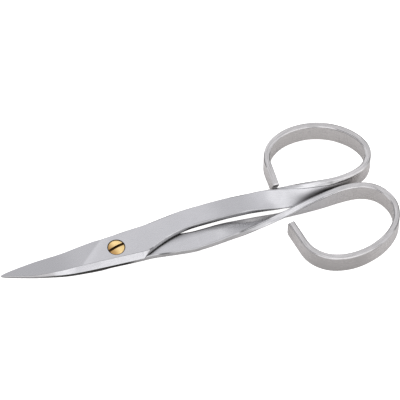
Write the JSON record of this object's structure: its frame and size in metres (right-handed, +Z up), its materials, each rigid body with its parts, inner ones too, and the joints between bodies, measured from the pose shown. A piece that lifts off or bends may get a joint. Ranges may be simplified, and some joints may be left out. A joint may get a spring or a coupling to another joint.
{
  "type": "nail scissors",
  "caption": "Nail scissors with slim pointed blades that curve upward, twisted flat shanks and open curled finger loops, turning on a slotted screw.",
  "frame": {"origin": "centre of the footprint with the scissors closed, on the surface that they lie on", "axes": "+X runs from the blade points to the finger loops, +Y towards the upper half's handle, +Z up towards the screw head"},
  "size_m": [0.0976, 0.0408, 0.0061],
  "materials": {
    "steel": "satin brushed stainless steel",
    "brass": "bright turned brass"
  },
  "bodies": {
    "lower": {"lower_half": "steel", "pivot_screw": "brass"},
    "upper": {"upper_half": "steel"}
  },
  "joints": [
    {"name": "pivot", "type": "hinge", "parent": "lower", "child": "upper", "pos_m": [-0.01987, 0.00104, 0.00278], "axis": [0, 0, 1], "range_deg": [-0.5, 90]}
  ]
}
